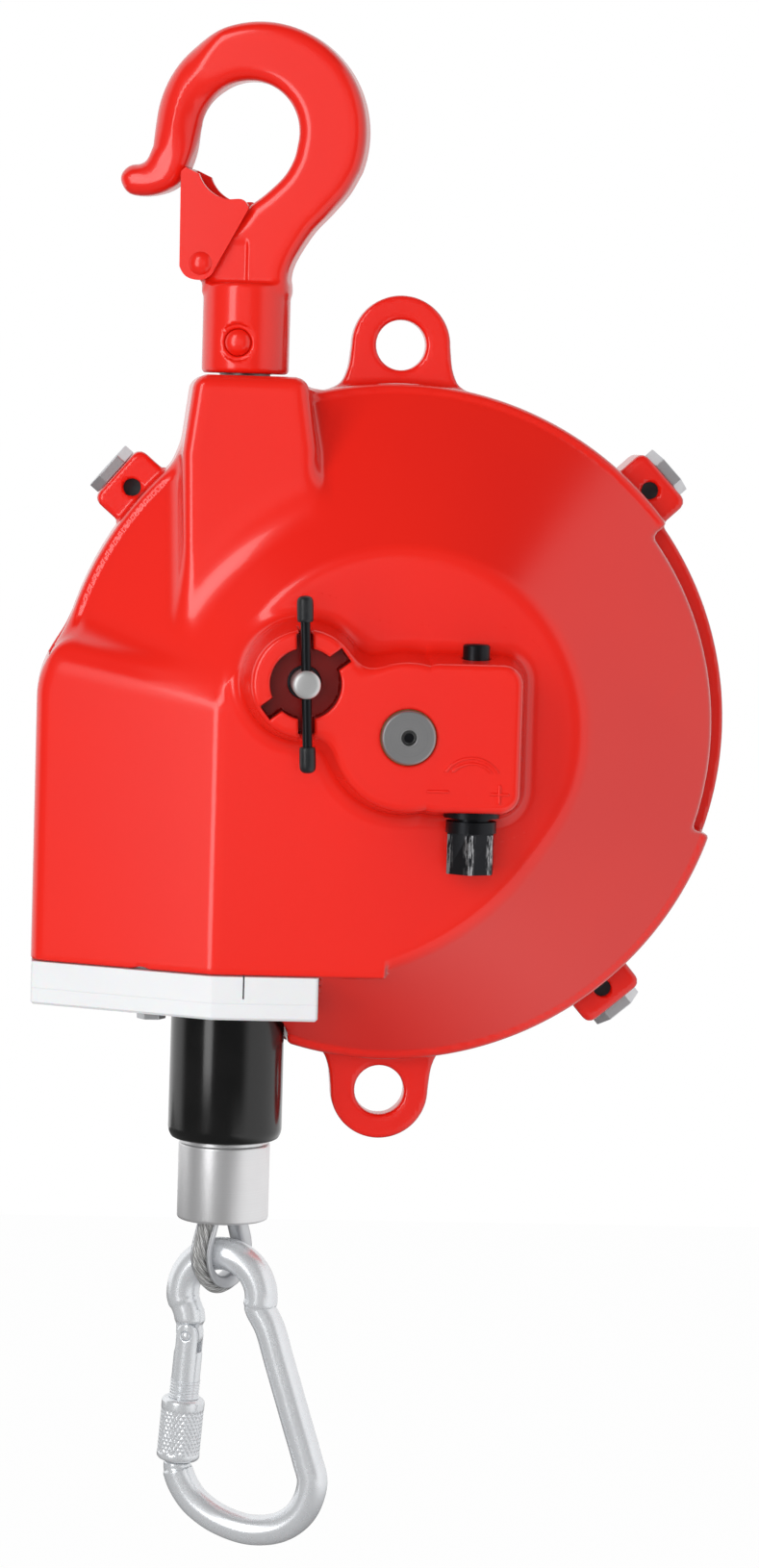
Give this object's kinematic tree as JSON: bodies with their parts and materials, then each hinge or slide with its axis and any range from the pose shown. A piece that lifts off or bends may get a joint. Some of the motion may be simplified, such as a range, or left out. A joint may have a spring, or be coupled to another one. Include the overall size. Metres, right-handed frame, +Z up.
{
  "type": "tool balancer",
  "caption": "Spring tool balancer: round cast housing on a swivel hook, cable outlet box with guide, rubber stop, rope loop and screw-sleeve carabiner.",
  "frame": {"origin": "the top inside of the hook's bowl, where the hook bears on its support", "axes": "+Z up along the load line, +X to the right across the drum, +Y away from the front of the housing"},
  "size_m": [0.2215, 0.1368, 0.4856],
  "materials": {
    "red_paint": "gloss",
    "white_nylon": "satin",
    "black_rubber": "gloss",
    "bare_aluminium": "brushed",
    "cast_aluminium": "cast",
    "steel": "turned",
    "plunger_steel": "satin",
    "black_steel": "blackened",
    "black_plastic": "satin",
    "bronze": "turned",
    "spring_steel": "satin",
    "wire_rope": "stranded",
    "zinc": "zinc plated",
    "bright_zinc": "bright zinc plated"
  },
  "bodies": {
    "hook": {"top_hook": "red_paint", "hook_stem": "steel", "stem_nut": "zinc", "stem_pin": "red_paint", "latch_rivet": "red_paint", "latch_spring": "spring_steel"},
    "latch": {"hook_latch": "red_paint"},
    "housing": {"front_case": "red_paint", "rear_case": "red_paint", "case_screws": "zinc", "ear_screws": "zinc", "cable_guide": "white_nylon", "guide_screws": "zinc", "bearing_plate": "steel", "front_bush": "bronze", "rear_bush": "bronze", "stem_bearing": "bronze", "worm_bush": "bronze", "worm_plug": "black_steel", "lock_bush": "bronze"},
    "drum": {"cable_drum": "cast_aluminium", "drum_cover": "steel", "main_spring": "spring_steel", "drum_bushes": "bronze", "cable_turns": "wire_rope"},
    "shaft": {"main_shaft": "steel", "worm_wheel": "bronze", "shaft_keys": "steel", "spring_arbor": "steel"},
    "worm_body": {"worm": "black_steel"},
    "lock_plunger": {"lock_spring": "spring_steel"},
    "lock_handle": {"lock_pin": "plunger_steel", "lock_rod": "black_steel", "lock_caps": "black_plastic"},
    "load_end": {"rubber_stop": "black_rubber", "ferrule": "bare_aluminium", "thimble": "zinc", "rope_loop": "wire_rope", "cable_end": "wire_rope", "cable_run": "wire_rope"},
    "carabiner": {"carabiner_body": "bright_zinc", "gate_rivet": "bright_zinc"},
    "gate": {"carabiner_gate": "bright_zinc"},
    "sleeve": {"lock_sleeve": "bright_zinc"}
  },
  "joints": [
    {"name": "latch_pivot", "type": "hinge", "parent": "hook", "child": "latch", "pos_m": [-0.01281, 0.00319, -0.0575], "axis": [0.2419, 0.9703, 0], "range_deg": [0, 40], "stiffness_Nm_per_rad": 0.02, "springref_deg": -34.38},
    {"name": "hook_swivel", "type": "hinge", "parent": "hook", "child": "housing", "pos_m": [0, 0, -0.1], "axis": [0, 0, 1], "continuous": true},
    {"name": "drum_spin", "type": "hinge", "parent": "housing", "child": "drum", "pos_m": [0.05026, 0, -0.201], "axis": [0, -1, 0], "range_deg": [0, 1710]},
    {"name": "cable_payout", "type": "slide", "parent": "housing", "child": "load_end", "axis": [0, 0, -1], "range_m": [0, 1.5], "stiffness_N_per_m": 12, "springref_m": -1, "deforming": ["cable_run"]},
    {"name": "shaft_spin", "type": "hinge", "parent": "housing", "child": "shaft", "pos_m": [0.05026, 0, -0.201], "axis": [0, 1, 0], "continuous": true},
    {"name": "worm_spin", "type": "hinge", "parent": "housing", "child": "worm_body", "pos_m": [0.07126, -0.053, -0.201], "axis": [0, 0, 1], "continuous": true},
    {"name": "lock_slide", "type": "slide", "parent": "housing", "child": "lock_plunger", "axis": [0, 1, 0], "range_m": [0, 0.008], "stiffness_N_per_m": 60, "springref_m": -0.01},
    {"name": "lock_turn", "type": "hinge", "parent": "lock_plunger", "child": "lock_handle", "pos_m": [0.01856, -0.053, -0.1855], "axis": [0, 1, 0], "range_deg": [0, 55.5]},
    {"name": "carabiner_swing", "type": "hinge", "parent": "load_end", "child": "carabiner", "pos_m": [0.00056, -0.00022, -0.3731], "axis": [0.9272, -0.3746, 0], "range_deg": [-35, 35]},
    {"name": "gate_hinge", "type": "hinge", "parent": "carabiner", "child": "gate", "pos_m": [-0.00927, 0.00375, -0.4003], "axis": [-0.3746, -0.9272, 0], "range_deg": [0, 28], "stiffness_Nm_per_rad": 0.02, "springref_deg": -28.65},
    {"name": "sleeve_slide", "type": "slide", "parent": "gate", "child": "sleeve", "axis": [0.0713, -0.0288, 0.997], "range_m": [-0.003, 0]}
  ],
  "couplings": [
    {"joint": "cable_payout", "follows": "drum_spin", "m_per_rad": 0.050259},
    {"joint": "worm_spin", "follows": "shaft_spin", "ratio": 20}
  ]
}
